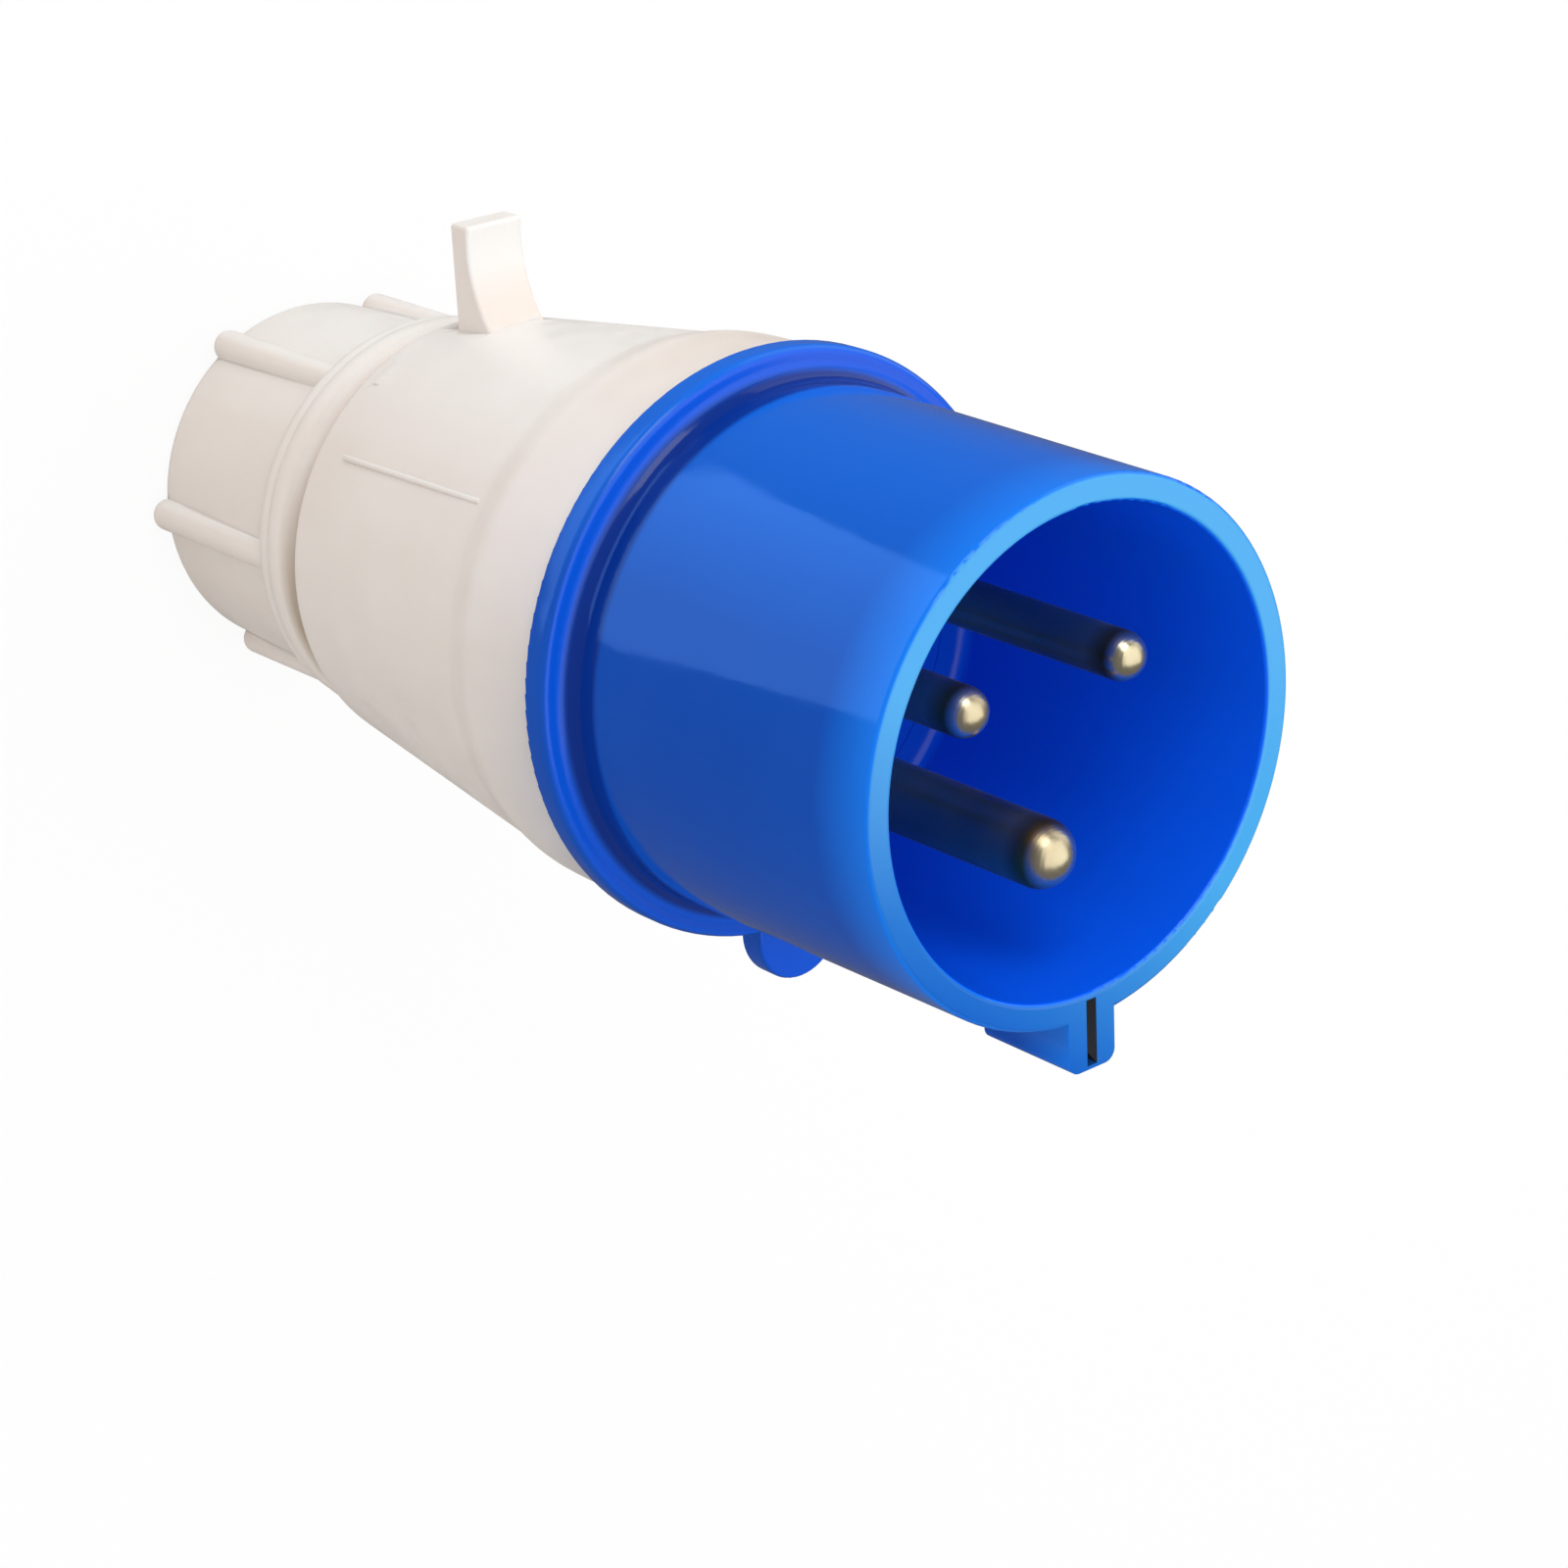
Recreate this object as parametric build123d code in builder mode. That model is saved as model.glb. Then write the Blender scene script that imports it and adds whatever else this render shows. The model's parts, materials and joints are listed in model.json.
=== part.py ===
"""Industrial plug with two poles and earth: a blue front part with its shroud, flange and contact
pins, an ivory housing with a lid lug, and a ribbed gland nut that clamps the cable.

The plug stands on the flat end of its gland nut. The Z axis is the plug's axis and points out of
the mouth, +Y is the side of the lid lug, and the key and the earth pin are on the -Y side.
The origin is where the cable enters the nut.
"""

import os
from math import cos, radians, sin, tan

from build123d import *

os.makedirs("parts", exist_ok=True)

# Overall sizes, in millimetres
overall_length = 129.0
shroud_length = 43.3
shroud_diameter = 54.0
shroud_draft = 0.5
shroud_wall = 2.8
hollow_depth = 43.0
floor_thickness = 8.0
rim_round = 0.5
floor_round = 1.5
flange_reach = 3.3
flange_thickness = 3.1
flange_round = 0.9
cove_land = 0.4

# Key and tab on the lower side of the front part
key_width = 6.0
key_height = 5.2
key_length = 12.0
key_round = 1.3
key_slot_width = 1.2
key_slot_cover = 0.4
key_slot_end = 1.4
key_slot_skin = 0.7
tab_radius = 5.5
tab_reach = 5.9
tab_round = 0.5

# Spigot of the front part, which the housing holds by a bayonet
spigot_diameter = 49.4
spigot_wall = 2.6
spigot_lead_in = 0.6
lip_width = 1.3
lip_thickness = 1.8
seal_groove_depth = 1.4
seal_groove_width = 1.8
seal_groove_step = 0.6
bayonet_count = 3
bayonet_height = 1.4
bayonet_width = 2.6
bayonet_setback = 2.4
bayonet_angle = 24.0
bayonet_start = 78.0
bayonet_turn = 45.0
bayonet_play = 2.0

# Contact pins
pin_circle_diameter = 23.4
line_pin_diameter = 5.0
earth_pin_diameter = 7.0
pin_tip_depth = 3.2
pin_root_step = 0.35
pin_root_depth = 0.3
pin_relief_height = 1.0
pin_relief_depth = 0.3
pin_collar_step = 2.6
pin_collar_height = 2.2
terminal_step = 1.9
terminal_length = 14.0
wire_hole_diameter = 4.0
wire_hole_depth = 9.0
terminal_screw_diameter = 3.5
terminal_screw_setback = 4.5
terminal_screw_stand_out = 0.6
boss_wall = 1.6
boss_height = 3.4

# Pin retainer and its screws
retainer_thickness = 2.4
retainer_edge_gap = 0.8
retainer_screw_count = 3
retainer_screw_circle_diameter = 30.0
retainer_screw_diameter = 2.6
retainer_screw_length = 9.0
retainer_screw_head_diameter = 5.2
retainer_screw_head_height = 2.0
post_diameter = 6.2
screw_slot_width = 0.8
screw_slot_depth = 0.8

# Housing
housing_band_length = 11.5
housing_band_inset = 0.85
housing_band_taper = 0.3
housing_shoulder_drop = 0.9
housing_shoulder_length = 3.5
housing_rear_diameter = 48.4
housing_rear_round = 1.4
housing_shoulder_round = 9.0
housing_edge_round = 0.6
cavity_wall = 2.9
cavity_floor_thickness = 3.0
support_rib_count = 3
support_rib_width = 3.0
support_rib_height = 2.6
neck_diameter = 34.0
neck_reach = 21.8
neck_bore_diameter = 26.0
neck_stop_depth = 2.3
neck_stop_bore_diameter = 17.0
neck_lead_in = 0.8

# Lid lug on the housing
lug_width = 7.2
lug_setback = 4.7
lug_thickness = 3.2
lug_height = 12.0
lug_foot_length = 8.4
lug_hollow = 1.6
lug_root_depth = 1.2
lug_round = 0.4

# Gland nut
nut_length = 29.8
nut_gap = 2.7
nut_diameter = 39.6
nut_front_diameter = 41.2
nut_wall_end = 3.2
nut_collar_diameter = 45.0
nut_collar_length = 8.2
nut_collar_round = 2.0
nut_end_round = 1.2
nut_rib_count = 6
nut_rib_radius = 1.8
nut_rib_height = 2.1
nut_rib_end_gap = 0.3
nut_rib_end_round = 1.1
cable_entry_diameter = 17.0
thread_gap = 0.4

# Cable clamp pieces inside the nut
washer_thickness = 1.2
washer_diameter = 33.0
washer_hole_diameter = 17.4
collet_flange_diameter = 30.0
collet_flange_height = 2.2
collet_length = 11.4
collet_hole_diameter = 12.0
collet_taper = 1.6
collet_slot_count = 8
collet_slot_width = 1.2
grommet_hole_diameter = 10.0
grommet_bevel = 1.5

# Clearances
seat_gap = 0.1
running_gap = 0.15
bayonet_gap = 0.2

# Levels along the axis, from the end face of the nut upwards
rim_z = overall_length
flange_front_z = rim_z - shroud_length
flange_rear_z = flange_front_z - flange_thickness
floor_z = rim_z - hollow_depth
floor_rear_z = floor_z - floor_thickness
boss_rear_z = floor_rear_z - boss_height
retainer_front_z = boss_rear_z - pin_collar_height
retainer_rear_z = retainer_front_z - retainer_thickness
spigot_end_z = retainer_rear_z
lip_rear_z = floor_z - lip_thickness
relief_end_z = floor_z + pin_relief_height
housing_rear_z = nut_length + nut_gap
neck_end_z = nut_length - neck_reach
neck_stop_z = nut_length - neck_stop_depth
nut_collar_rear_z = nut_length - nut_collar_length
terminal_end_z = retainer_front_z - terminal_length
pin_tip_z = rim_z - pin_tip_depth
washer_front_z = nut_wall_end + washer_thickness
collet_flange_front_z = washer_front_z + collet_flange_height
collet_front_z = washer_front_z + collet_length
seal_rear_z = flange_rear_z - seal_groove_depth
bayonet_front_z = spigot_end_z + bayonet_setback + bayonet_width

# Radii that several pieces share
shroud_radius = shroud_diameter / 2
shroud_base_radius = shroud_radius + shroud_length * tan(radians(shroud_draft))
hollow_radius = shroud_radius - shroud_wall
flange_radius = shroud_base_radius + flange_reach
spigot_radius = spigot_diameter / 2
spigot_inner_radius = spigot_radius - spigot_wall
lip_radius = spigot_inner_radius - lip_width
retainer_radius = spigot_inner_radius - retainer_edge_gap
housing_bore_radius = spigot_radius + running_gap
bayonet_groove_radius = spigot_radius + bayonet_height + bayonet_gap
seal_inner_radius = bayonet_groove_radius + seal_groove_step
seal_outer_radius = seal_inner_radius + seal_groove_width
housing_front_radius = flange_radius - housing_band_inset
housing_rear_radius = housing_rear_diameter / 2
neck_radius = neck_diameter / 2
neck_bore_radius = neck_bore_diameter / 2

# Contacts: name, direction round the axis and pin diameter
contacts = {
    "line_pin": (30.0, line_pin_diameter),
    "neutral_pin": (150.0, line_pin_diameter),
    "earth_pin": (270.0, earth_pin_diameter),
}


def upright_plane(angle, reach=0.0, height=0.0):
    """Plane along the plug's axis, its local x pointing outwards in the given direction."""
    outward = Vector(cos(radians(angle)), sin(radians(angle)), 0)
    return Plane(
        origin=outward * reach + Vector(0, 0, height),
        x_dir=outward,
        z_dir=outward.rotate(Axis.Z, -90),
    )


def contact_plane(angle, height=0.0):
    """Upright plane through the axis of a contact."""
    return upright_plane(angle, pin_circle_diameter / 2, height)


def radial_plane(angle, height):
    """Plane across a contact's axis that faces away from the plug's axis."""
    upright = contact_plane(angle, height)
    return Plane(origin=upright.origin, x_dir=(0, 0, 1), z_dir=upright.x_dir)


def half_section(corners):
    """Closed half profile in the XZ plane. A corner is its radius, level and, if it has one, rounding."""
    rounds = [corner[2] if len(corner) > 2 else 0 for corner in corners]
    with BuildSketch(Plane.XZ) as section:
        with BuildLine():
            FilletPolyline(*[corner[:2] for corner in corners], radius=rounds, close=True)
        make_face()
    return section.sketch


def ring_section(inner_radius, outer_radius, low_z, high_z):
    """Rectangular half profile of a plain ring."""
    return half_section(
        [(inner_radius, low_z), (outer_radius, low_z), (outer_radius, high_z), (inner_radius, high_z)]
    )


# Half-round tab below the flange
with BuildPart() as flange_tab:
    with BuildSketch(Plane.XY.offset(flange_rear_z)):
        with Locations((0, tab_radius - flange_radius - tab_reach)):
            Circle(tab_radius)
            Rectangle(2 * tab_radius, tab_radius, align=(Align.CENTER, Align.MIN))
    extrude(amount=flange_thickness)
    fillet(flange_tab.edges().filter_by(Axis.Z, reverse=True), tab_round)

# Front part: shroud, flange, spigot and the lip that stops the contact carrier
with BuildPart() as plug_front:
    front_profile = [
        (lip_radius, lip_rear_z),
        (lip_radius, floor_z),
        (hollow_radius, floor_z, floor_round),
        (hollow_radius, rim_z, rim_round),
        (shroud_radius, rim_z, rim_round),
        (shroud_base_radius, flange_front_z, flange_reach - flange_round - cove_land),
        (flange_radius, flange_front_z, flange_round),
        (flange_radius, flange_rear_z, flange_round / 2),
        (spigot_radius, flange_rear_z),
        (spigot_radius, spigot_end_z, spigot_lead_in),
        (spigot_inner_radius, spigot_end_z),
        (spigot_inner_radius, lip_rear_z),
    ]
    revolve(half_section(front_profile), axis=Axis.Z)
    # Bayonet nibs round the spigot
    for nib in range(bayonet_count):
        with BuildSketch(upright_plane(bayonet_start + nib * 360 / bayonet_count)):
            with Locations((spigot_radius, bayonet_front_z - bayonet_width / 2)):
                Rectangle(2 * bayonet_height, bayonet_width)
        revolve(axis=Axis.Z, revolution_arc=bayonet_angle)
    add(flange_tab.part)
    # Key under the shroud
    key_reach = shroud_radius + key_height
    with BuildSketch(Plane.XY.offset(rim_z - key_length)) as key_outline:
        with Locations((0, -key_reach)):
            Rectangle(key_width, key_height + shroud_wall / 2, align=(Align.CENTER, Align.MIN))
        fillet(key_outline.vertices().group_by(Axis.Y)[0], key_round)
    extrude(amount=key_length)
    # Narrow slot along the key, into the wall of the shroud but not through it
    with BuildSketch(Plane.XY.offset(rim_z - key_length + key_slot_end)):
        with Locations((0, key_slot_cover - key_reach)):
            Rectangle(
                key_slot_width,
                key_reach - key_slot_cover - hollow_radius - key_slot_skin,
                align=(Align.CENTER, Align.MIN),
            )
    extrude(amount=key_length, mode=Mode.SUBTRACT)

# Contact carrier: the floor of the hollow, with bosses for the pins and posts for the screws
with BuildPart() as contact_carrier:
    carrier_profile = [
        (0, floor_rear_z),
        (spigot_inner_radius - seat_gap, floor_rear_z),
        (spigot_inner_radius - seat_gap, lip_rear_z),
        (lip_radius - seat_gap, lip_rear_z),
        (lip_radius - seat_gap, floor_z),
        (0, floor_z),
    ]
    revolve(half_section(carrier_profile), axis=Axis.Z)
    for angle, pin_diameter in contacts.values():
        root_radius = pin_diameter / 2 + pin_root_step
        place = contact_plane(angle).origin
        with BuildSketch(Plane.XY.offset(boss_rear_z)):
            with Locations((place.X, place.Y)):
                Circle(root_radius + boss_wall)
        extrude(amount=boss_height + floor_thickness / 2)
    # Posts of the retainer screws
    with BuildSketch(Plane.XY.offset(retainer_front_z)):
        with PolarLocations(retainer_screw_circle_diameter / 2, retainer_screw_count, start_angle=90):
            Circle(post_diameter / 2)
    extrude(amount=floor_rear_z - retainer_front_z + floor_thickness / 2)
    # Pin holes and pilot holes
    for angle, pin_diameter in contacts.values():
        place = contact_plane(angle).origin
        with BuildSketch(Plane.XY.offset(boss_rear_z)):
            with Locations((place.X, place.Y)):
                Circle(pin_diameter / 2 + pin_root_step + seat_gap)
        extrude(amount=floor_z - boss_rear_z, mode=Mode.SUBTRACT)
    with BuildSketch(Plane.XY.offset(retainer_front_z)):
        with PolarLocations(retainer_screw_circle_diameter / 2, retainer_screw_count, start_angle=90):
            Circle(retainer_screw_diameter / 2 + seat_gap)
    extrude(amount=retainer_screw_length - retainer_thickness + seat_gap, mode=Mode.SUBTRACT)

# Seal ring between the flange and the front face of the housing
with BuildPart() as front_seal_ring:
    revolve(
        ring_section(
            seal_inner_radius + seat_gap,
            seal_outer_radius - seat_gap,
            seal_rear_z,
            flange_rear_z,
        ),
        axis=Axis.Z,
    )

# Lid lug: an upright hook with a hollow ramp towards the mouth
with BuildPart() as lid_lug:
    lug_root = housing_rear_radius - lug_root_depth
    lug_reach = housing_rear_radius + lug_height
    lug_rear_z = housing_rear_z + lug_setback
    lug_top_z = lug_rear_z + lug_thickness
    lug_foot_z = lug_rear_z + lug_foot_length
    with BuildSketch(Plane.YZ):
        with BuildLine():
            lug_ramp = ThreePointArc(
                (lug_reach, lug_top_z),
                (
                    (lug_reach + lug_root) / 2 - lug_hollow,
                    (lug_top_z + lug_foot_z) / 2 - lug_hollow,
                ),
                (lug_root, lug_foot_z),
            )
            Polyline(lug_ramp @ 1, (lug_root, lug_rear_z), (lug_reach, lug_rear_z), lug_ramp @ 0)
        make_face()
    extrude(amount=lug_width / 2, both=True)
    fillet(lid_lug.edges() - lid_lug.edges().group_by(Axis.Y)[0], lug_round)

# Housing: front band, tapered grip, rear wall and threaded neck
with BuildPart() as housing:
    band_end_z = flange_rear_z - housing_band_length
    shoulder_end_z = band_end_z - housing_shoulder_length
    band_end_radius = housing_front_radius - housing_band_taper
    shoulder_radius = band_end_radius - housing_shoulder_drop
    housing_profile = [
        (neck_stop_bore_diameter / 2, flange_rear_z),
        (housing_front_radius, flange_rear_z, housing_edge_round),
        (band_end_radius, band_end_z, housing_shoulder_round),
        (shoulder_radius, shoulder_end_z, housing_shoulder_round),
        (housing_rear_radius, housing_rear_z, housing_rear_round),
        (neck_radius, housing_rear_z),
        (neck_radius, neck_end_z, neck_lead_in),
        (neck_bore_radius, neck_end_z),
        (neck_bore_radius, neck_stop_z),
        (neck_stop_bore_diameter / 2, neck_stop_z),
    ]
    revolve(half_section(housing_profile), axis=Axis.Z)
    # Bore for the spigot and tapered cavity for the terminals
    cavity_floor_z = housing_rear_z + cavity_floor_thickness
    revolve(
        half_section(
            [
                (0, flange_rear_z),
                (housing_bore_radius, flange_rear_z),
                (housing_bore_radius, spigot_end_z),
                (spigot_inner_radius, spigot_end_z),
                (housing_rear_radius - cavity_wall, cavity_floor_z),
                (0, cavity_floor_z),
            ]
        ),
        axis=Axis.Z,
        mode=Mode.SUBTRACT,
    )
    # Ribs in the cavity that hold the retainer plate forward
    with BuildSketch(Plane.XY.offset(cavity_floor_z)):
        with PolarLocations(spigot_inner_radius - support_rib_height, support_rib_count):
            Rectangle(
                support_rib_height + spigot_radius - spigot_inner_radius,
                support_rib_width,
                align=(Align.MIN, Align.CENTER),
            )
    extrude(amount=spigot_end_z - cavity_floor_z)
    # Groove of the seal ring
    revolve(
        ring_section(seal_inner_radius, seal_outer_radius, seal_rear_z, flange_front_z),
        axis=Axis.Z,
        mode=Mode.SUBTRACT,
    )
    # Ring groove and entry slots of the bayonet
    revolve(
        ring_section(
            spigot_inner_radius,
            bayonet_groove_radius,
            spigot_end_z + bayonet_setback - bayonet_gap,
            bayonet_front_z + bayonet_gap,
        ),
        axis=Axis.Z,
        mode=Mode.SUBTRACT,
    )
    for entry in range(bayonet_count):
        entry_start = bayonet_start + bayonet_turn + entry * 360 / bayonet_count
        with BuildSketch(upright_plane(entry_start)):
            with Locations((spigot_inner_radius, bayonet_front_z - bayonet_width / 2)):
                Rectangle(
                    bayonet_groove_radius - spigot_inner_radius - bayonet_gap / 2,
                    flange_front_z - bayonet_front_z,
                    align=(Align.MIN, Align.MIN),
                )
        revolve(axis=Axis.Z, revolution_arc=bayonet_angle + bayonet_play, mode=Mode.SUBTRACT)
    add(lid_lug.part)

# One rib of the gland nut
with BuildPart() as nut_rib:
    with BuildSketch(Plane.XY.offset(nut_rib_end_gap)):
        Circle(nut_rib_radius)
    extrude(amount=nut_collar_rear_z + nut_collar_round - nut_rib_end_gap)
    fillet(nut_rib.edges().filter_by(GeomType.CIRCLE).sort_by(Axis.Z)[0], nut_rib_end_round)

# Gland nut: ribbed cap with a front collar
with BuildPart() as gland_nut:
    nut_profile = [
        (cable_entry_diameter / 2, 0),
        (nut_diameter / 2, 0, nut_end_round),
        (nut_front_diameter / 2, nut_collar_rear_z),
        (nut_collar_diameter / 2, nut_collar_rear_z + nut_collar_round, nut_collar_round),
        (nut_collar_diameter / 2, nut_length, nut_collar_round),
        (neck_radius + thread_gap, nut_length),
        (neck_radius + thread_gap, nut_wall_end),
        (cable_entry_diameter / 2, nut_wall_end),
    ]
    revolve(half_section(nut_profile), axis=Axis.Z)
    with PolarLocations(nut_diameter / 2 + nut_rib_height - nut_rib_radius, nut_rib_count):
        add(nut_rib.part)

# Slip washer on the floor of the nut
with BuildPart() as slip_washer:
    revolve(
        ring_section(washer_hole_diameter / 2, washer_diameter / 2, nut_wall_end, washer_front_z),
        axis=Axis.Z,
    )

# Grip collet: a flange and slotted fingers that close on the cable
with BuildPart() as grip_collet:
    finger_radius = neck_bore_radius - running_gap
    revolve(
        half_section(
            [
                (collet_hole_diameter / 2, washer_front_z),
                (collet_flange_diameter / 2, washer_front_z),
                (collet_flange_diameter / 2, collet_flange_front_z),
                (finger_radius, collet_flange_front_z),
                (finger_radius, collet_front_z - collet_taper),
                (finger_radius - collet_taper, collet_front_z),
                (collet_hole_diameter / 2, collet_front_z),
            ]
        ),
        axis=Axis.Z,
    )
    with BuildSketch(Plane.XY.offset(collet_flange_front_z)):
        with PolarLocations(0, collet_slot_count):
            Rectangle(finger_radius + collet_taper, collet_slot_width, align=(Align.MIN, Align.CENTER))
    extrude(amount=collet_length, mode=Mode.SUBTRACT)

# Rubber grommet between the collet and the stop in the neck
with BuildPart() as cable_grommet:
    grommet_radius = neck_bore_radius - seat_gap
    revolve(
        half_section(
            [
                (grommet_hole_diameter / 2, collet_front_z),
                (grommet_radius, collet_front_z),
                (grommet_radius, neck_stop_z),
                (grommet_hole_diameter / 2 + grommet_bevel, neck_stop_z),
                (grommet_hole_diameter / 2, neck_stop_z - grommet_bevel),
            ]
        ),
        axis=Axis.Z,
    )

# Retainer plate that holds the collars of the pins against their bosses
with BuildPart() as pin_retainer:
    with BuildSketch(Plane.XY.offset(retainer_rear_z)):
        Circle(retainer_radius)
        for angle, pin_diameter in contacts.values():
            place = contact_plane(angle).origin
            with Locations((place.X, place.Y)):
                Circle(pin_diameter / 2 + terminal_step + seat_gap, mode=Mode.SUBTRACT)
        with PolarLocations(retainer_screw_circle_diameter / 2, retainer_screw_count, start_angle=90):
            Circle(retainer_screw_diameter / 2 + seat_gap, mode=Mode.SUBTRACT)
    extrude(amount=retainer_thickness)

# Screws of the retainer, with their heads towards the cable
with BuildPart() as retainer_screws:
    head_rear_z = retainer_rear_z - retainer_screw_head_height
    with PolarLocations(retainer_screw_circle_diameter / 2, retainer_screw_count, start_angle=90):
        with Locations((0, 0, head_rear_z)):
            Cylinder(
                retainer_screw_head_diameter / 2,
                retainer_screw_head_height,
                align=(Align.CENTER, Align.CENTER, Align.MIN),
            )
            Cylinder(
                retainer_screw_diameter / 2,
                retainer_screw_head_height + retainer_screw_length,
                align=(Align.CENTER, Align.CENTER, Align.MIN),
            )
            Box(
                retainer_screw_head_diameter,
                screw_slot_width,
                screw_slot_depth,
                align=(Align.CENTER, Align.CENTER, Align.MIN),
                mode=Mode.SUBTRACT,
            )


def contact_pin(angle, pin_diameter):
    """One turned contact: round-nosed pin, root, collar and terminal with its two holes."""
    pin_radius = pin_diameter / 2
    root_radius = pin_radius + pin_root_step
    collar_radius = root_radius + pin_collar_step
    terminal_radius = pin_radius + terminal_step
    upright = contact_plane(angle)
    with BuildPart() as contact:
        with BuildSketch(upright):
            with BuildLine():
                nose = CenterArc((0, pin_tip_z - pin_radius), pin_radius, 0, 90)
                Polyline(
                    nose @ 1,
                    (0, terminal_end_z),
                    (terminal_radius, terminal_end_z),
                    (terminal_radius, retainer_front_z),
                    (collar_radius, retainer_front_z),
                    (collar_radius, boss_rear_z),
                    (root_radius, boss_rear_z),
                    (root_radius, floor_z - pin_root_depth),
                    (pin_radius - pin_relief_depth, floor_z - pin_root_depth),
                    (pin_radius - pin_relief_depth, relief_end_z),
                    (pin_radius, relief_end_z),
                    nose @ 0,
                )
            make_face()
        revolve(axis=Axis(upright.origin, (0, 0, 1)))
        with BuildSketch(Plane.XY.offset(terminal_end_z)):
            with Locations((upright.origin.X, upright.origin.Y)):
                Circle(wire_hole_diameter / 2)
        extrude(amount=wire_hole_depth, mode=Mode.SUBTRACT)
        with BuildSketch(radial_plane(angle, terminal_end_z + terminal_screw_setback)):
            Circle(terminal_screw_diameter / 2)
        extrude(amount=terminal_radius + terminal_screw_stand_out, mode=Mode.SUBTRACT)
    return contact.part


# Line, neutral and earth contacts
contact_parts = {name: contact_pin(*contact) for name, contact in contacts.items()}

# Clamping screws of the three terminals
with BuildPart() as terminal_screws:
    for angle, pin_diameter in contacts.values():
        screw_end = pin_diameter / 2 + terminal_step + terminal_screw_stand_out
        screw_plane = radial_plane(angle, terminal_end_z + terminal_screw_setback)
        with BuildSketch(screw_plane.offset(wire_hole_diameter / 4)):
            Circle(terminal_screw_diameter / 2 - seat_gap)
        extrude(amount=screw_end - wire_hole_diameter / 4)
        with BuildSketch(screw_plane.offset(screw_end - screw_slot_depth)):
            Rectangle(terminal_screw_diameter, screw_slot_width)
        extrude(amount=screw_slot_depth, mode=Mode.SUBTRACT)

pieces = {
    "plug_front": plug_front.part,
    "contact_carrier": contact_carrier.part,
    "front_seal_ring": front_seal_ring.part,
    "housing": housing.part,
    "gland_nut": gland_nut.part,
    "slip_washer": slip_washer.part,
    "grip_collet": grip_collet.part,
    "cable_grommet": cable_grommet.part,
    "pin_retainer": pin_retainer.part,
    "retainer_screws": retainer_screws.part,
    "terminal_screws": terminal_screws.part,
    **contact_parts,
}

for name, piece in pieces.items():
    piece.label = name
    export_step(piece, f"parts/{name}.step")
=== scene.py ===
import json
from math import pi, radians

import bpy
from mathutils import Matrix, Vector


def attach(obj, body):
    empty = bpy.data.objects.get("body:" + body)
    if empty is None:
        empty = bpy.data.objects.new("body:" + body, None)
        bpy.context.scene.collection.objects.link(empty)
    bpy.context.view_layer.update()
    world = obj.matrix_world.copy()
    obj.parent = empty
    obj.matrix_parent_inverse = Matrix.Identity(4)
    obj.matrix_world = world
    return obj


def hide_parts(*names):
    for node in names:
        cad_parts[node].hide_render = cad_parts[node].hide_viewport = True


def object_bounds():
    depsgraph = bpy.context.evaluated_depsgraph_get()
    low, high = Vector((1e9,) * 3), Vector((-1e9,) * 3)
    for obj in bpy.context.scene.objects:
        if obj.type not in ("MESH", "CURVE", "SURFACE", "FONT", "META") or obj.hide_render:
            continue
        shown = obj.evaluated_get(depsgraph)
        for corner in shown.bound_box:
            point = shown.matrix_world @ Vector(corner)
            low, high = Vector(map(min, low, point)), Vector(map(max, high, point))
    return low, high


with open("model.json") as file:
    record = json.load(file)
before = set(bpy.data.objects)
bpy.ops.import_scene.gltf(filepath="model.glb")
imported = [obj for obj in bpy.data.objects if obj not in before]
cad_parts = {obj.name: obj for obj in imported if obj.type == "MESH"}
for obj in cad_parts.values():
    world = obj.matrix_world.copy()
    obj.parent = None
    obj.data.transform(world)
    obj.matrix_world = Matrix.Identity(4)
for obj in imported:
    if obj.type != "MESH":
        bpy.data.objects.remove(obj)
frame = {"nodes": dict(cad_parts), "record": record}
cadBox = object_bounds()
mm = 0.001

# Places of the plug that its finishes hang on, in mm
plugPlaces = {
    "rimZ": round(cadBox[1][2] / mm, 2),
    "flangeZ": 85.7,  # front face of the flange
    "housingRearZ": 32.5,
    "nutFrontZ": 29.8,
}


def deselectAll():
    if bpy.context.object and bpy.context.object.mode != "OBJECT":
        bpy.ops.object.mode_set(mode="OBJECT")
    bpy.ops.object.select_all(action="DESELECT")


def makeActive(piece):
    deselectAll()
    piece.select_set(True)
    bpy.context.view_layer.objects.active = piece


def applyModifier(piece, kind, **settings):
    makeActive(piece)
    modifier = piece.modifiers.new(kind.lower(), kind)
    for key, value in settings.items():
        setattr(modifier, key, value)
    bpy.ops.object.modifier_apply(modifier=modifier.name)


def applyPlace(piece):
    makeActive(piece)
    bpy.ops.object.transform_apply(location=True, rotation=True, scale=True)


# Shader maths: a socket that adds its own Math nodes
class Sock:
    def __init__(self, build, socket):
        self.build = build
        self.socket = socket

    def __add__(self, other):
        return self.build.maths("ADD", self, other)

    def __rsub__(self, other):
        return self.build.maths("SUBTRACT", other, self)

    def __mul__(self, other):
        return self.build.maths("MULTIPLY", self, other)

    __radd__ = __add__
    __rmul__ = __mul__


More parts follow.
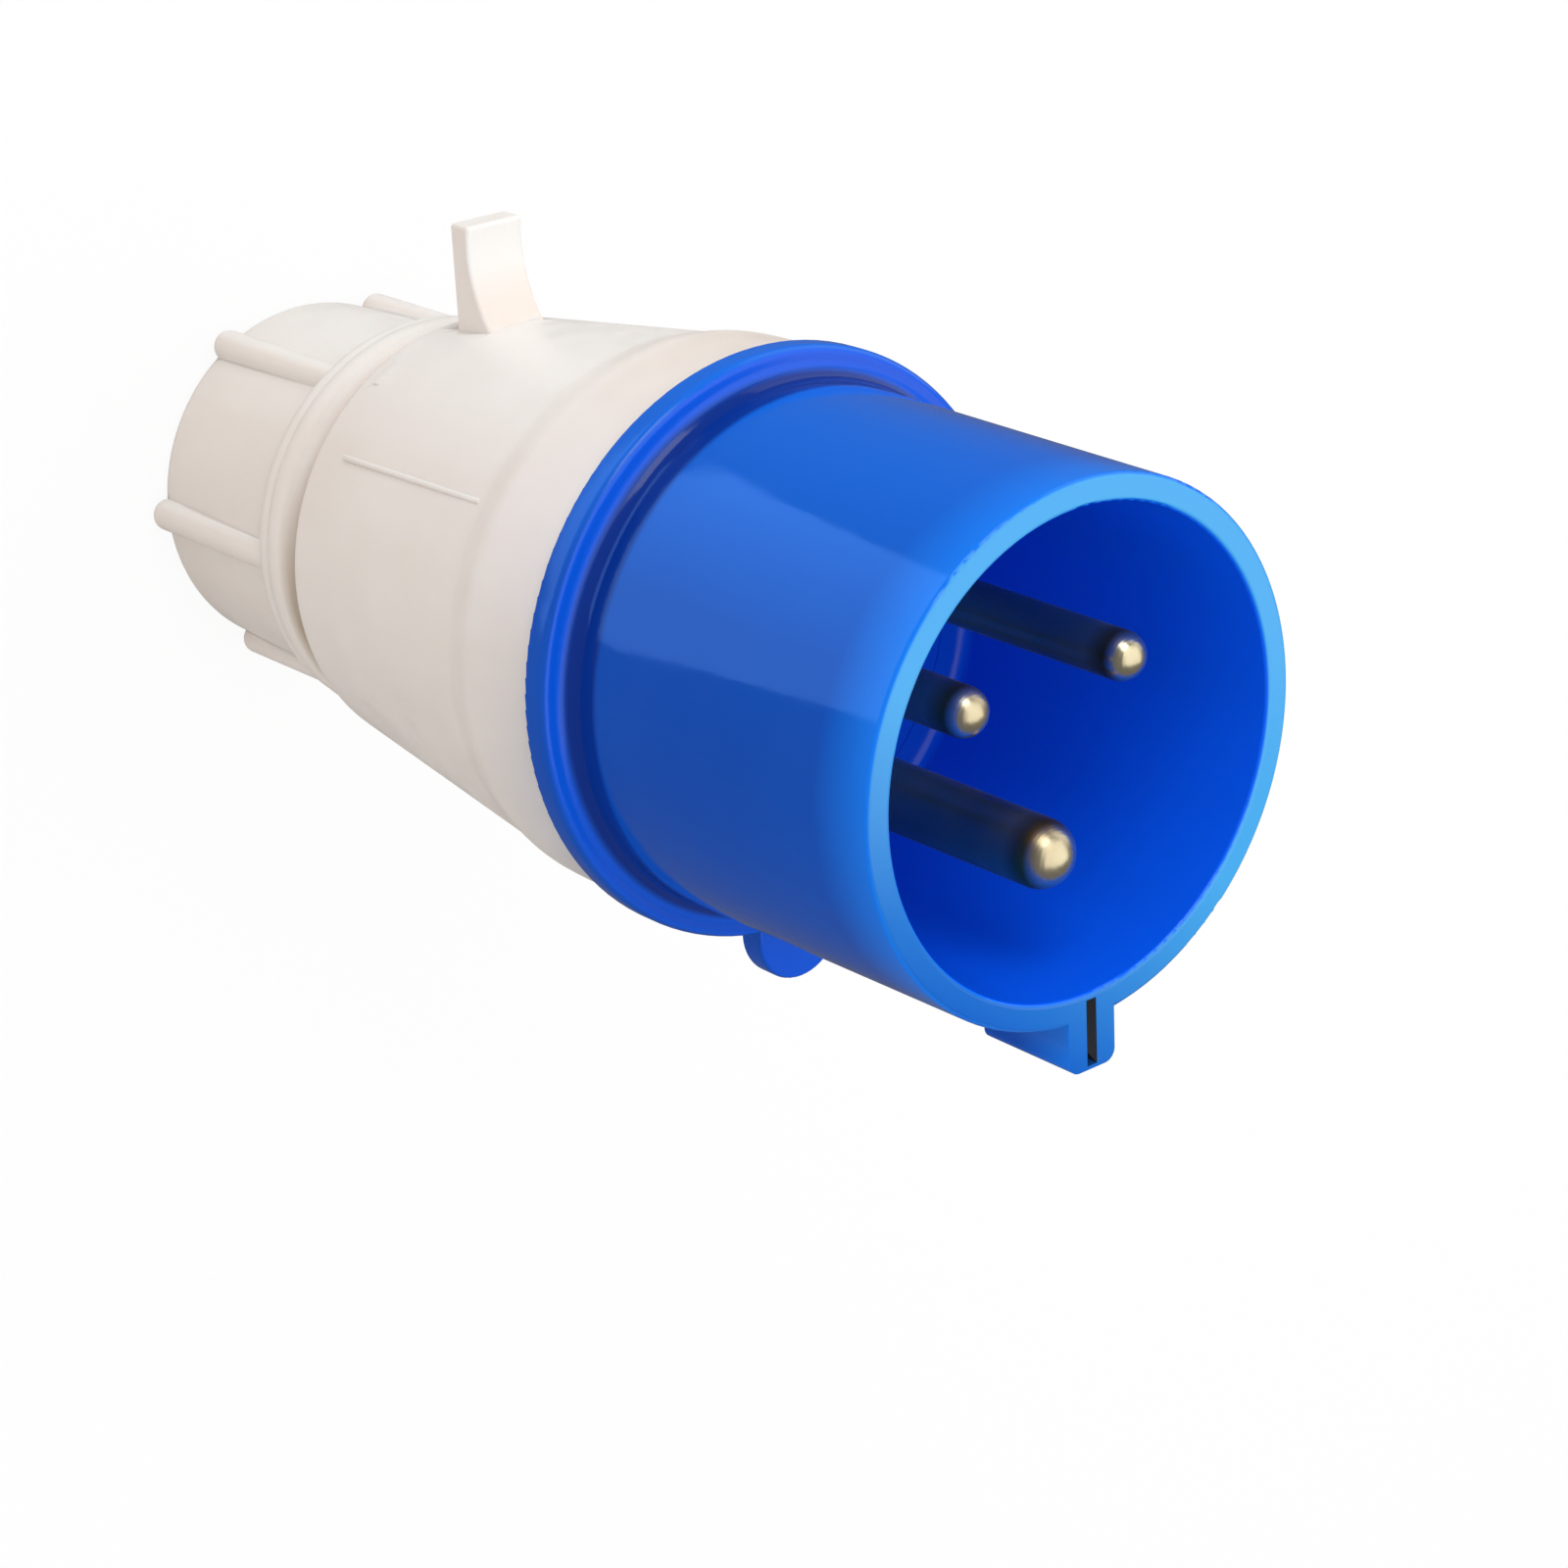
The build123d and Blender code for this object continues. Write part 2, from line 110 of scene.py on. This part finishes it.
# The nodes of one material or of the world
class Shader:
    def __init__(self, owner):
        owner.use_nodes = True
        self.owner = owner
        self.tree = owner.node_tree
        self.tree.nodes.clear()

    def node(self, kind, settings=None, inputs=None, output=0):
        made = self.tree.nodes.new(kind)
        for key, value in (settings or {}).items():
            setattr(made, key, value)
        for key, value in (inputs or {}).items():
            if isinstance(value, Sock):
                self.tree.links.new(value.socket, made.inputs[key])
            else:
                made.inputs[key].default_value = value
        return Sock(self, made.outputs[output]) if made.outputs else None

    def maths(self, operation, *values):
        return self.node("ShaderNodeMath", {"operation": operation}, dict(enumerate(values)))

    def place(self):
        return self.node("ShaderNodeTexCoord", output="Object")

    def normal(self):
        return self.node("ShaderNodeNewGeometry", output="Normal")

    def lightPath(self, kind):
        return self.node("ShaderNodeLightPath", output=f"Is {kind} Ray")

    def axes(self, vector):
        first = self.node("ShaderNodeSeparateXYZ", {}, {0: vector})
        return [Sock(self, socket) for socket in first.socket.node.outputs]

    def noise(self, scale, detail):
        inputs = {"Vector": self.place(), "Scale": scale, "Detail": detail}
        return self.node("ShaderNodeTexNoise", {}, inputs, "Fac")

    # Goes from the first end to the second while the value crosses the edge
    def ramp(self, value, edge, ends=(0.0, 1.0)):
        inputs = {
            "Value": value, "From Min": edge[0], "From Max": edge[1],
            "To Min": ends[0], "To Max": ends[1],
        }
        return self.node("ShaderNodeMapRange", {"clamp": True}, inputs)

    def fall(self, value, edge):
        return self.ramp(value, edge, (1.0, 0.0))

    # Sockets 6 and 7 of a Mix node are its colours, and output 2 is their mix
    def mix(self, share, first, second):
        settings = {"data_type": "RGBA", "blend_type": "MIX"}
        return self.node("ShaderNodeMix", settings, {"Factor": share, 6: first, 7: second}, 2)

    def bump(self, height, strength, distance):
        inputs = {"Height": height, "Strength": strength, "Distance": distance}
        return self.node("ShaderNodeBump", {}, inputs)

    def surface(self, inputs):
        shader = self.node("ShaderNodeBsdfPrincipled", {}, inputs)
        self.node("ShaderNodeOutputMaterial", {}, {"Surface": shader})
        return self.owner


def newShader(name):
    return Shader(bpy.data.materials.new(name))


def colour(red, green, blue):
    return (red, green, blue, 1.0)


# Two places in mm, counted from a start, as the edge of a mask in metres
def span(low, high, start=0.0):
    return ((start + low) * mm, (start + high) * mm)


# Each noise is its scale and detail, each bump its strength and distance
blueValues = {
    "shadedSideBlue": colour(0.003, 0.070, 0.44),
    "litSideBlue": colour(0.005, 0.140, 0.70),
    "litSideSpan": span(14, 30),
    "cloudy": colour(0.004, 0.115, 0.62),
    "cloudNoise": (26.0, 4.0),
    "cloudEdge": (0.35, 0.65),
    "cloudShare": 0.25,
    "paintedRimGlow": colour(0.006, 0.190, 0.84),
    "paintedRimGlowLevels": span(-7.5, 0.0, plugPlaces["rimZ"]),
    "hollow": colour(0.003, 0.125, 0.92),
    "hollowRadius": span(24.25, 24.40),
    "faceUp": (0.70, 0.95),
    "flange": colour(0.003, 0.105, 0.76),
    "flangeLevels": span(0.3, 1.8, plugPlaces["flangeZ"]),
    "flangeRoughness": 0.18,
    "coveShade": colour(0.002, 0.028, 0.24),
    "coveStart": span(-0.7, -0.2, plugPlaces["flangeZ"]),
    "coveEnd": span(3.4, 4.2, plugPlaces["flangeZ"]),
    "coveInside": span(25.6, 26.2),
    "coveOutside": span(28.0, 28.7),
    "rimShade": colour(0.003, 0.100, 0.50),
    "rimLight": colour(0.055, 0.345, 0.72),
    "rimLevels": span(-1.0, -0.2, plugPlaces["rimZ"]),
    "rimAim": (0.6, 0.8),
    "rimSpread": span(-28, -4),
    "slot": colour(0.0005, 0.003, 0.012),
    "slotHalfWidth": span(0.62, 0.66),
    "slotInner": span(-24.90, -24.80),
    "slotOuter": span(-31.84, -31.78),
    "slotEnd": span(-10.8, -10.6, plugPlaces["rimZ"]),
    "wearNoise": (140.0, 2.0),
    "wearEdge": (0.3, 0.7),
    "roughness": (0.07, 0.14),
    "grainNoise": (900.0, 2.0),
    "grainBump": (0.04, 0.2 * mm),
    "shine": 0.4,
    "refraction": 1.49,
}


def bluePlastic():
    values = blueValues
    s = newShader("bluePlastic")
    across, away, height = s.axes(s.place())
    radius = s.maths("SQRT", across * across + away * away)
    facing = s.ramp(s.axes(s.normal())[2], values["faceUp"])
    # Painted shade: the side away from the lug is painted a deeper blue than the lit side
    tone = s.mix(s.ramp(away, values["litSideSpan"]), values["shadedSideBlue"], values["litSideBlue"])
    cloud = s.ramp(s.noise(*values["cloudNoise"]), values["cloudEdge"], (0.0, values["cloudShare"]))
    tone = s.mix(cloud, tone, values["cloudy"])
    # Painted light: the shroud is painted brighter towards the rim, as if lit through the thin wall
    tone = s.mix(s.ramp(height, values["paintedRimGlowLevels"]), tone, values["paintedRimGlow"])
    # Painted light: the inner wall of the hollow is painted brighter
    tone = s.mix(s.fall(radius, values["hollowRadius"]), tone, values["hollow"])
    # Painted light: the front face of the flange is painted a brighter blue
    tone = s.mix(s.fall(height, values["flangeLevels"]) * facing, tone, values["flange"])
    # Painted shade: the corner between flange and shroud is painted dark, as it keeps little light
    corner = s.ramp(height, values["coveStart"]) * s.fall(height, values["coveEnd"])
    corner = corner * s.ramp(radius, values["coveInside"]) * s.fall(radius, values["coveOutside"])
    tone = s.mix(corner, tone, values["coveShade"])
    # Painted light: the flat face of the rim is painted paler than the walls, lighter on the lit side
    # and darker on the shaded side
    rimX, rimY = values["rimAim"]
    rimTone = s.ramp(across * rimX + away * rimY, values["rimSpread"])
    rimTone = s.mix(rimTone, values["rimShade"], values["rimLight"])
    tone = s.mix(s.ramp(height, values["rimLevels"]) * facing, tone, rimTone)
    # Painted shade: the narrow slot of the key is painted near black inside
    slot = s.fall(s.maths("ABSOLUTE", across), values["slotHalfWidth"])
    slot = slot * s.fall(away, values["slotInner"]) * s.ramp(away, values["slotOuter"])
    slot = slot * s.ramp(height, values["slotEnd"])
    tone = s.mix(slot, tone, values["slot"])
    wear = s.ramp(s.noise(*values["wearNoise"]), values["wearEdge"], values["roughness"])
    flangeWear = s.ramp(height, values["flangeLevels"], (values["flangeRoughness"], 0.0))
    return s.surface({
        "Base Color": tone,
        "Roughness": s.maths("MAXIMUM", wear, flangeWear),
        "IOR": values["refraction"],
        "Specular IOR Level": values["shine"],
        "Normal": s.bump(s.noise(*values["grainNoise"]), *values["grainBump"]),
    })


ivoryValues = {
    "shade": colour(0.795, 0.704, 0.636),
    "light": colour(0.850, 0.773, 0.708),
    "cloudNoise": (34.0, 5.0),
    "cloudEdge": (0.3, 0.7),
    "pale": colour(0.900, 0.870, 0.835),
    "topLightFacing": (0.62, 1.12),
    "topLightLevels": span(66, 74),
    "lug": colour(0.825, 0.812, 0.782),
    "lugStart": span(28, 32),
    "lugLevels": span(54, 60),
    "lugFacing": (0.15, 0.50),
    "lowSideShade": colour(0.590, 0.575, 0.610),
    "lowSideShadeLevels": span(70, 83),
    "lowSideShadeFacing": (-0.60, 0.65),
    "gapShade": colour(0.500, 0.400, 0.300),
    "gapStart": span(-2.2, -1.0, plugPlaces["nutFrontZ"]),
    "gapEnd": span(-0.3, 0.5, plugPlaces["housingRearZ"]),
    "gapSide": span(-6, 12),
    "wearNoise": (210.0, 2.0),
    "wearEdge": (0.3, 0.7),
    "roughness": (0.36, 0.5),
    "grainNoise": (1500.0, 2.0),
    "grainBump": (0.12, 0.1 * mm),
    "depthShare": 0.06,
    "depth": 2 * mm,
    "refraction": 1.47,
}


def ivoryPlastic():
    values = ivoryValues
    s = newShader("ivoryPlastic")
    away, height = s.axes(s.place())[1:]
    facingY, facingZ = s.axes(s.normal())[1:]
    cloud = s.ramp(s.noise(*values["cloudNoise"]), values["cloudEdge"])
    tone = s.mix(cloud, values["shade"], values["light"])
    # Painted light: the side with the lid lug is painted paler where it faces up
    pale = s.ramp(facingY, values["topLightFacing"]) * s.fall(height, values["topLightLevels"])
    tone = s.mix(pale, tone, values["pale"])
    # Painted light: the lug's hollow face is painted lighter where it faces the mouth
    lug = s.ramp(away, values["lugStart"]) * s.fall(height, values["lugLevels"])
    tone = s.mix(lug * s.ramp(facingZ, values["lugFacing"]), tone, values["lug"])
    # Painted shade: the other side is painted a darker, cooler grey near the flange
    lowSideShade = s.ramp(height, values["lowSideShadeLevels"]) * s.fall(facingY, values["lowSideShadeFacing"])
    tone = s.mix(lowSideShade, tone, values["lowSideShade"])
    # Painted shade: the gap between nut and housing is painted darker, more on the side away from the
    # lug, as it keeps little light there
    gapShade = s.ramp(height, values["gapStart"]) * s.fall(height, values["gapEnd"])
    tone = s.mix(gapShade * s.fall(away, values["gapSide"]), tone, values["gapShade"])
    return s.surface({
        "Base Color": tone,
        "Roughness": s.ramp(s.noise(*values["wearNoise"]), values["wearEdge"], values["roughness"]),
        "IOR": values["refraction"],
        "Subsurface Weight": values["depthShare"],
        "Subsurface Scale": values["depth"],
        "Normal": s.bump(s.noise(*values["grainNoise"]), *values["grainBump"]),
    })


metalValues = {
    "pale": colour(0.99, 0.88, 0.58),
    "warm": colour(0.86, 0.70, 0.44),
    "smudgeNoise": (180.0, 4.0),
    "warmEdge": (0.4, 0.7),
    "body": colour(0.60, 0.52, 0.23),
    "brownShade": colour(0.42, 0.24, 0.05),
    "brownShadeLevels": span(-8.4, -6.0, plugPlaces["rimZ"]),
    "tipLevels": span(-5.6, -4.2, plugPlaces["rimZ"]),
    "wearEdge": (0.3, 0.7),
    "roughness": (0.24, 0.36),
    "bodyRoughness": 0.08,
    "turning": {"Scale": 900.0, "Distortion": 1.5, "Detail": 2.0},
    "turningBump": (0.05, 0.1 * mm),
}


def contactMetal():
    values = metalValues
    s = newShader("contactMetal")
    height = s.axes(s.place())[2]
    smudge = s.noise(*values["smudgeNoise"])
    worn = s.mix(s.ramp(smudge, values["warmEdge"]), values["pale"], values["warm"])
    # Painted dark reflection: below the tips the pins are painted dark brass, with a brown band under
    # each tip
    lower = s.mix(s.ramp(height, values["brownShadeLevels"]), values["body"], values["brownShade"])
    tip = s.ramp(height, values["tipLevels"])
    wear = s.ramp(smudge, values["wearEdge"], values["roughness"])
    # Fine rings from the turning
    rings = s.node(
        "ShaderNodeTexWave", {"wave_type": "BANDS", "bands_direction": "Z"},
        {"Vector": s.place(), **values["turning"]}, "Fac",
    )
    return s.surface({
        "Base Color": s.mix(tip, lower, worn),
        "Metallic": 1.0,
        "Roughness": wear + (1 - tip) * values["bodyRoughness"],
        "Normal": s.bump(rings, *values["turningBump"]),
    })


# The finishes of the hidden pieces differ only in these values
plainValues = {
    "greyPlastic": {
        "dark": colour(0.28, 0.29, 0.30), "light": colour(0.36, 0.37, 0.38),
        "roughness": (0.4, 0.55), "scale": 90.0, "metallic": 0.0,
    },
    "sealRubber": {
        "dark": colour(0.018, 0.018, 0.019), "light": colour(0.035, 0.035, 0.036),
        "roughness": (0.55, 0.75), "scale": 120.0, "metallic": 0.0,
    },
    "screwSteel": {
        "dark": colour(0.55, 0.56, 0.58), "light": colour(0.68, 0.69, 0.70),
        "roughness": (0.2, 0.35), "scale": 160.0, "metallic": 1.0,
    },
}
plainPattern = {
    "detail": 4.0,
    "toneEdge": (0.35, 0.65),
    "wearEdge": (0.3, 0.7),
    "grainTimes": 12,
    "grainDetail": 2.0,
    "grainBump": (0.1, 0.1 * mm),
}


def plainSurface(name):
    values = plainValues[name]
    s = newShader(name)
    cloud = s.noise(values["scale"], plainPattern["detail"])
    grain = s.noise(values["scale"] * plainPattern["grainTimes"], plainPattern["grainDetail"])
    return s.surface({
        "Base Color": s.mix(s.ramp(cloud, plainPattern["toneEdge"]), values["dark"], values["light"]),
        "Metallic": values["metallic"],
        "Roughness": s.ramp(cloud, plainPattern["wearEdge"], values["roughness"]),
        "Normal": s.bump(grain, *plainPattern["grainBump"]),
    })


print("materials")
finishes = {
    "blue_plastic": bluePlastic(),
    "ivory_plastic": ivoryPlastic(),
    "contact_brass": contactMetal(),
    "grey_plastic": plainSurface("greyPlastic"),
    "seal_rubber": plainSurface("sealRubber"),
    "screw_steel": plainSurface("screwSteel"),
}


def finish(piece, slot):
    piece.data.materials.clear()
    piece.data.materials.append(finishes[slot])


# Gives a new piece its finish and lets it ride on the plug
def addPiece(piece, slot):
    finish(piece, slot)
    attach(piece, "root")


# A visible moulding or turned piece: its CAD form, merged and smooth shaded
smoothValues = {
    "mergeDistance": 0.004 * mm,
    "flatAngle": radians(0.4),
    "sharpAngle": radians(34),
    "normalWeight": 80,
}


def smoothCopy(nodeName, pieceName, slot):
    node = frame["nodes"][nodeName]
    piece = node.copy()
    piece.data = node.data.copy()
    piece.name = pieceName
    piece.parent = None
    piece.matrix_world = Matrix.Identity(4)
    bpy.context.collection.objects.link(piece)
    makeActive(piece)
    bpy.ops.object.mode_set(mode="EDIT")
    bpy.ops.mesh.select_all(action="SELECT")
    bpy.ops.mesh.remove_doubles(threshold=smoothValues["mergeDistance"])
    bpy.ops.mesh.dissolve_limited(angle_limit=smoothValues["flatAngle"])
    bpy.ops.object.mode_set(mode="OBJECT")
    bpy.ops.object.shade_smooth_by_angle(angle=smoothValues["sharpAngle"])
    applyModifier(piece, "WEIGHTED_NORMAL", keep_sharp=True, weight=smoothValues["normalWeight"])
    addPiece(piece, slot)
    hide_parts(nodeName)


print("mouldings and pins")
slots = {entry["node"]: entry["material_slot"] for entry in frame["record"]["subparts"]}
shown = {
    "plug_front": "frontMoulding",
    "contact_carrier": "carrierMoulding",
    "housing": "housingMoulding",
    "gland_nut": "glandNutMoulding",
    "line_pin": "linePinTurned",
    "neutral_pin": "neutralPinTurned",
    "earth_pin": "earthPinTurned",
}
for nodeName, pieceName in shown.items():
    smoothCopy(nodeName, pieceName, slots[nodeName])
for nodeName, node in frame["nodes"].items():
    if nodeName not in shown:
        finish(node, slots[nodeName])


# Thread on the neck, seen in the gap between the nut and the housing
threadValues = {
    "neckRadius": 17.0 * mm,
    "ridgeRadius": 0.64 * mm,
    "sink": 0.128 * mm,  # the ridge's middle lies this deep in the neck
    "pitch": 2.0 * mm,
    "startZ": 24.6 * mm,
    "turns": 3,
    "steps": 96,
    "mergeDistance": 0.001 * mm,
    "sharpAngle": radians(30),
}


def neckThread():
    values = threadValues
    deselectAll()
    bpy.ops.mesh.primitive_circle_add(
        vertices=3, radius=values["ridgeRadius"], fill_type="NGON", rotation=(radians(90), 0, 0),
        location=(values["neckRadius"] - values["sink"], 0, values["startZ"]),
    )
    piece = bpy.context.object
    piece.name = "neckThread"
    applyPlace(piece)
    applyModifier(
        piece, "SCREW", axis="Z", angle=2 * pi, screw_offset=values["pitch"],
        iterations=values["turns"], steps=values["steps"], render_steps=values["steps"],
        use_merge_vertices=False,
    )
    bpy.ops.object.mode_set(mode="EDIT")
    bpy.ops.mesh.select_all(action="SELECT")
    bpy.ops.mesh.remove_doubles(threshold=values["mergeDistance"])
    bpy.ops.mesh.normals_make_consistent(inside=False)
    bpy.ops.object.mode_set(mode="OBJECT")
    bpy.ops.object.shade_smooth_by_angle(angle=values["sharpAngle"])
    addPiece(piece, "ivory_plastic")


# The rounded bead around the front of the nut's collar
beadValues = {
    "middleZ": 26.7 * mm,
    "ringRadius": 21.9 * mm,
    "halfHeight": 0.9 * mm,
    "halfWidth": 1.95 * mm,
    "ringSteps": 192,
    "roundSteps": 24,
}


def collarBead():
    values = beadValues
    deselectAll()
    bpy.ops.mesh.primitive_torus_add(
        major_radius=values["ringRadius"], minor_radius=values["halfHeight"],
        major_segments=values["ringSteps"], minor_segments=values["roundSteps"],
    )
    piece = bpy.context.object
    piece.name = "collarBead"
    piece.scale = (1, 1, values["halfWidth"] / values["halfHeight"])
    piece.location = (0, 0, values["middleZ"])
    applyPlace(piece)
    bpy.ops.object.shade_smooth()
    addPiece(piece, "ivory_plastic")


# Fine raised witness lines that the mould halves leave on the housing
witnessValues = {
    "angles": (144.0, 324.0),
    "lowZ": 39.0 * mm,
    "highZ": 67.0 * mm,
    "lowRadius": 25.04 * mm,
    "highRadius": 28.28 * mm,
    "width": 0.95 * mm,
    "depth": 0.6 * mm,
    "bevel": 0.26 * mm,
    "bevelSteps": 5,
    "sharpAngle": radians(40),
}


def witnessLine(number, angle):
    values = witnessValues
    low = Vector((values["lowRadius"], 0, values["lowZ"]))
    high = Vector((values["highRadius"], 0, values["highZ"]))
    lean = high - low
    middle = (low + high) / 2
    deselectAll()
    bpy.ops.mesh.primitive_cube_add(size=1)
    piece = bpy.context.object
    piece.name = f"witnessLine{number}"
    piece.scale = (values["depth"], values["width"], lean.length)
    applyPlace(piece)
    applyModifier(piece, "BEVEL", width=values["bevel"], segments=values["bevelSteps"])
    tilt = lean.to_track_quat("Z", "Y").to_matrix().to_4x4()
    piece.matrix_world = Matrix.Rotation(radians(angle), 4, "Z") @ Matrix.Translation(middle) @ tilt
    applyPlace(piece)
    bpy.ops.object.shade_smooth_by_angle(angle=values["sharpAngle"])
    addPiece(piece, "ivory_plastic")


print("small details")
neckThread()
collarBead()
for number, angle in enumerate(witnessValues["angles"], 1):
    witnessLine(number, angle)


# Floor and world: white to the camera, a plain level to the object
stageValues = {
    "white": colour(1, 1, 1),
    "floorSize": 6.0,
    "floorDrop": 0.2 * mm,
    "floorTone": colour(0.82, 0.82, 0.82),
    "floorShare": 0.92,  # of the white in what the camera sees of the floor
    "fill": 0.77,
    "reflected": 0.13,
}


def whiteFloor():
    values = stageValues
    deselectAll()
    bpy.ops.mesh.primitive_plane_add(size=values["floorSize"], location=(0, 0, -values["floorDrop"]))
    floor = bpy.context.object
    floor.name = "floor"
    s = newShader("floorWhite")
    camera, glossy = s.lightPath("Camera"), s.lightPath("Glossy")
    level = s.ramp(camera, (0.0, 1.0), (values["reflected"], 1.0))
    paintedRimGlow = s.node("ShaderNodeEmission", {}, {"Color": values["white"], "Strength": level})
    matt = s.node("ShaderNodeBsdfDiffuse", {}, {"Color": values["floorTone"]})
    share = s.maths("MAXIMUM", camera * values["floorShare"], glossy)
    both = s.node("ShaderNodeMixShader", {}, {0: share, 1: matt, 2: paintedRimGlow})
    s.node("ShaderNodeOutputMaterial", {}, {"Surface": both})
    floor.data.materials.append(s.owner)
    applyPlace(floor)


def whiteWorld():
    values = stageValues
    world = bpy.data.worlds.new("studio")
    bpy.context.scene.world = world
    s = Shader(world)
    seen = s.maths("MAXIMUM", s.lightPath("Camera"), s.lightPath("Transmission"))
    plain = s.ramp(s.lightPath("Glossy"), (0.0, 1.0), (values["fill"], values["reflected"]))
    strength = s.maths("MAXIMUM", seen, plain)
    background = s.node("ShaderNodeBackground", {}, {"Color": values["white"], "Strength": strength})
    s.node("ShaderNodeOutputWorld", {}, {"Surface": background})


# A lamp's level is the light it shows in a mirror. One with only shine is a card that the gloss shows
lampValues = {
    "key": {
        "place": (-0.15, 0.75, 0.55), "size": (0.45, 0.45), "level": 2.70, "tint": (0.93, 0.965, 1.0),
    },
    "front": {
        "place": (0.20, 0.12, 0.62), "size": (1.00, 0.80), "level": 0.85, "aim": (0.20, 0.12, 0),
    },
    "rear": {"place": (0.45, 0.32, 0.14), "size": (0.60, 0.50), "level": 0.7},
    "band": {
        "place": (-0.05452, 0.05409, 0.05487), "size": (0.087, 0.046), "level": 2.4,
        "tint": (0.20, 0.46, 1.0), "onlyShine": True,
        "axes": ((-0.6824, -0.7310, 0.0), (-0.5272, 0.4922, 0.6927), (-0.5064, 0.4727, -0.7212)),
    },
}


def lamp(name, place, size, level, aim=(0, 0, 0.07), tint=(1, 1, 1), onlyShine=False, axes=None):
    light = bpy.data.lights.new(name, "AREA")
    light.shape = "RECTANGLE"
    light.size, light.size_y = size
    light.energy = level * pi * size[0] * size[1]
    light.color = tint
    holder = bpy.data.objects.new(name, light)
    bpy.context.collection.objects.link(holder)
    if axes:
        holder.matrix_world = Matrix.Translation(place) @ Matrix(axes).transposed().to_4x4()
    else:
        holder.location = place
        holder.rotation_euler = (Vector(aim) - Vector(place)).to_track_quat("-Z", "Y").to_euler()
    holder.visible_camera = False
    holder.visible_diffuse = not onlyShine


# The camera stands where the photograph was taken from
cameraValues = {
    "place": (-0.24428, 0.14208, 0.38655),
    "right": (0.76538, -0.04559, 0.64196),
    "up": (0.27390, 0.92572, -0.26081),
    "lens": 94.194,
    "sensor": 36.0,
    "nearest": 0.01,
}


def photoCamera():
    values = cameraValues
    data = bpy.data.cameras.new("photoCamera")
    data.lens = values["lens"]
    data.sensor_width = values["sensor"]
    data.clip_start = values["nearest"]
    camera = bpy.data.objects.new("photoCamera", data)
    bpy.context.collection.objects.link(camera)
    right = Vector(values["right"]).normalized()
    up = Vector(values["up"]).normalized()
    turn = Matrix((right, up, right.cross(up).normalized())).transposed().to_4x4()
    camera.matrix_world = Matrix.Translation(values["place"]) @ turn
    bpy.context.scene.camera = camera


print("stage")
whiteFloor()
whiteWorld()
for name, values in lampValues.items():
    lamp(name, **values)
photoCamera()
bpy.context.scene.view_settings.view_transform = "Standard"
